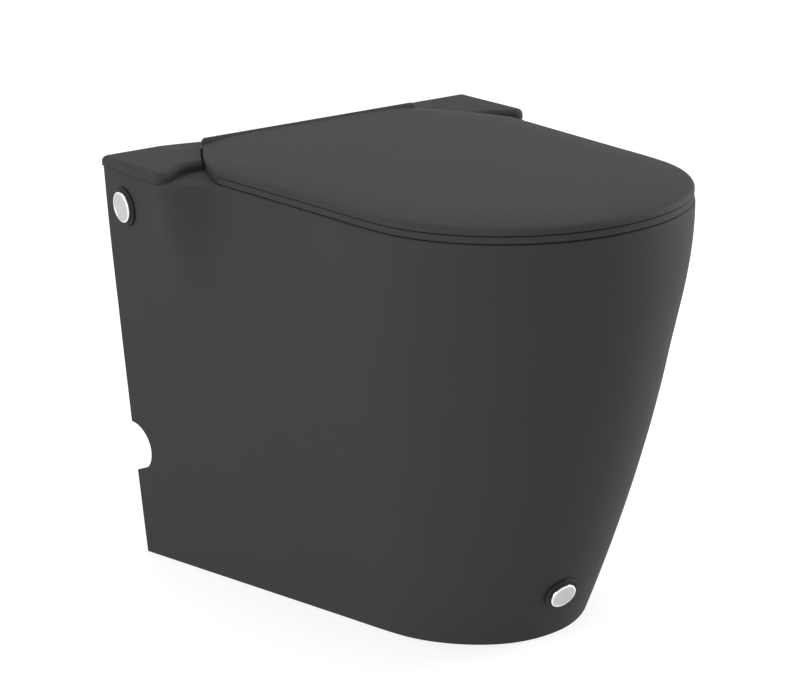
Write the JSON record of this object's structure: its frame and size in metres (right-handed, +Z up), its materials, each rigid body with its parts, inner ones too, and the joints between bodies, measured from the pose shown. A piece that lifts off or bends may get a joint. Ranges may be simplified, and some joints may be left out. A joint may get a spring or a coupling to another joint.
{
  "type": "back to wall toilet",
  "caption": "Floor-standing toilet pan with a skirt that closes against the wall, a slim seat and lid on soft-close hinges, a rear cover plate and hidden fixings.",
  "frame": {"origin": "centre of the object's box at floor level, on the plane that splits it into left and right", "axes": "+Z up, +Y towards the wall that the pan stands against, +X to the right of someone who faces the wall"},
  "size_m": [0.3936, 0.515, 0.3924],
  "materials": {
    "ceramic": "matte",
    "seat_plastic": "matte",
    "cover_plastic": "matte",
    "chrome": "polished",
    "black_rubber": "matte",
    "steel": "satin",
    "zinc_steel": "satin",
    "black_plastic": "satin"
  },
  "bodies": {
    "root": {"pan": "ceramic", "hinge_cover": "cover_plastic", "hinge_post_left": "cover_plastic", "hinge_post_right": "cover_plastic", "hinge_pin_left": "steel", "hinge_pin_right": "steel", "seat_damper_body": "black_plastic", "lid_damper_body": "black_plastic", "hinge_gaskets": "black_rubber", "hinge_washers": "steel", "hinge_bolts": "steel", "anchor_sleeves": "black_rubber", "anchor_nuts": "black_plastic", "upper_grommets": "black_rubber", "upper_caps": "chrome", "upper_screws": "zinc_steel", "wall_brackets": "zinc_steel", "lower_grommet": "black_rubber", "lower_cap": "chrome", "lower_screw": "zinc_steel", "floor_bracket": "zinc_steel", "flush_splitter": "black_plastic"},
    "seat": {"seat_ring": "seat_plastic", "seat_buffers": "black_rubber", "seat_damper_spindle": "steel"},
    "lid": {"lid": "seat_plastic", "lid_buffers": "black_rubber", "lid_damper_spindle": "steel"}
  },
  "joints": [
    {"name": "seat_hinge", "type": "hinge", "parent": "root", "child": "seat", "pos_m": [0, 0.2175, 0.3874], "axis": [-1, 0, 0], "range_deg": [0, 92]},
    {"name": "lid_hinge", "type": "hinge", "parent": "seat", "child": "lid", "pos_m": [0, 0.2175, 0.3874], "axis": [-1, 0, 0], "range_deg": [0, 92]}
  ]
}
